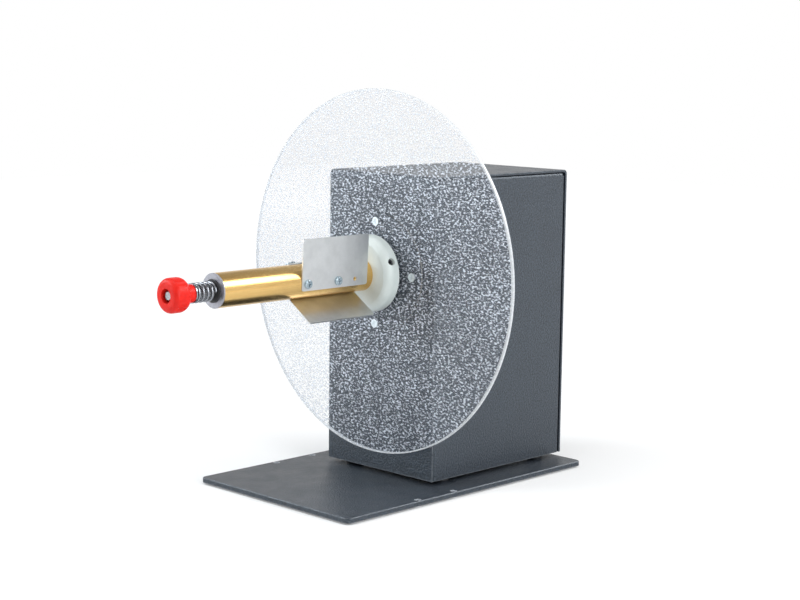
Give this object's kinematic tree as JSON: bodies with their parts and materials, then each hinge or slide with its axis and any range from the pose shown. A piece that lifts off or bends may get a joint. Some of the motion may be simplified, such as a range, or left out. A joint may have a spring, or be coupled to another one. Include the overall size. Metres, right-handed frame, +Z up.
{
  "type": "label unwinder",
  "caption": "Bench-top label unwinder: a sheet-steel stand carries a turning tube with sheet vanes that grip a roll's core, a clear disc behind the roll and a knob that sets the brake.",
  "frame": {"origin": "under the middle of the overall box, on the surface that the feet stand on", "axes": "-Y forwards along the spindle towards the knob, X across the stand with +X on the side that the picture shows, +Z up"},
  "size_m": [0.3, 0.3852, 0.3247],
  "materials": {
    "black_coat": "satin black powder coat",
    "foot_rubber": "matt",
    "zinc_plate": "bright zinc",
    "block_aluminium": "milled",
    "rod_steel": "turned",
    "brake_felt": "pressed felt",
    "flange_black": "matt black powder coat",
    "clear_acrylic": "clear with a fine pebbled face",
    "white_nylon": "satin, turned",
    "black_oxide": "black oxide",
    "tube_brass": "turned",
    "bush_bronze": "sintered",
    "cap_aluminium": "turned",
    "vane_steel": "rolled sheet",
    "black_nylon": "matt",
    "spring_steel": "bright drawn wire",
    "red_plastic": "satin gloss"
  },
  "bodies": {
    "stand": {"base_plate": "black_coat", "rubber_feet": "foot_rubber", "housing_cover": "black_coat", "side_panel_right": "black_coat", "side_panel_left": "black_coat", "mounting_angles": "black_coat", "housing_spacers": "black_nylon", "housing_screws": "zinc_plate", "housing_nuts": "zinc_plate", "cover_screws": "zinc_plate", "spindle_block": "block_aluminium", "block_screws": "zinc_plate", "spindle_rod": "rod_steel", "rod_washer": "zinc_plate", "rod_nut": "zinc_plate", "brake_pad": "brake_felt", "tension_spring": "spring_steel"},
    "rotor": {"backing_flange": "flange_black", "clear_disc": "clear_acrylic", "disc_screws": "zinc_plate", "hub_collar": "white_nylon", "hub_grub_screw": "black_oxide", "core_tube": "tube_brass", "rear_bush": "bush_bronze", "front_cap": "cap_aluminium", "core_vane_1": "vane_steel", "core_vane_2": "vane_steel", "core_vane_3": "vane_steel", "vane_screws": "zinc_plate", "thrust_washer": "black_nylon"},
    "spring_seat": {"spring_washer": "zinc_plate"},
    "knob": {"tension_knob": "red_plastic", "knob_insert": "tube_brass"}
  },
  "joints": [
    {"name": "hub_spin", "type": "hinge", "parent": "stand", "child": "rotor", "pos_m": [0, 0.0281, 0.1747], "axis": [0, -1, 0], "continuous": true},
    {"name": "knob_travel", "type": "slide", "parent": "stand", "child": "spring_seat", "axis": [0, 1, 0], "range_m": [0, 0.005], "deforming": ["tension_spring"]},
    {"name": "knob_turn", "type": "hinge", "parent": "spring_seat", "child": "knob", "pos_m": [0, -0.18, 0.1747], "axis": [0, 1, 0], "range_deg": [0, 1440]}
  ],
  "couplings": [
    {"joint": "knob_travel", "follows": "knob_turn", "m_per_rad": 0.00019894}
  ]
}
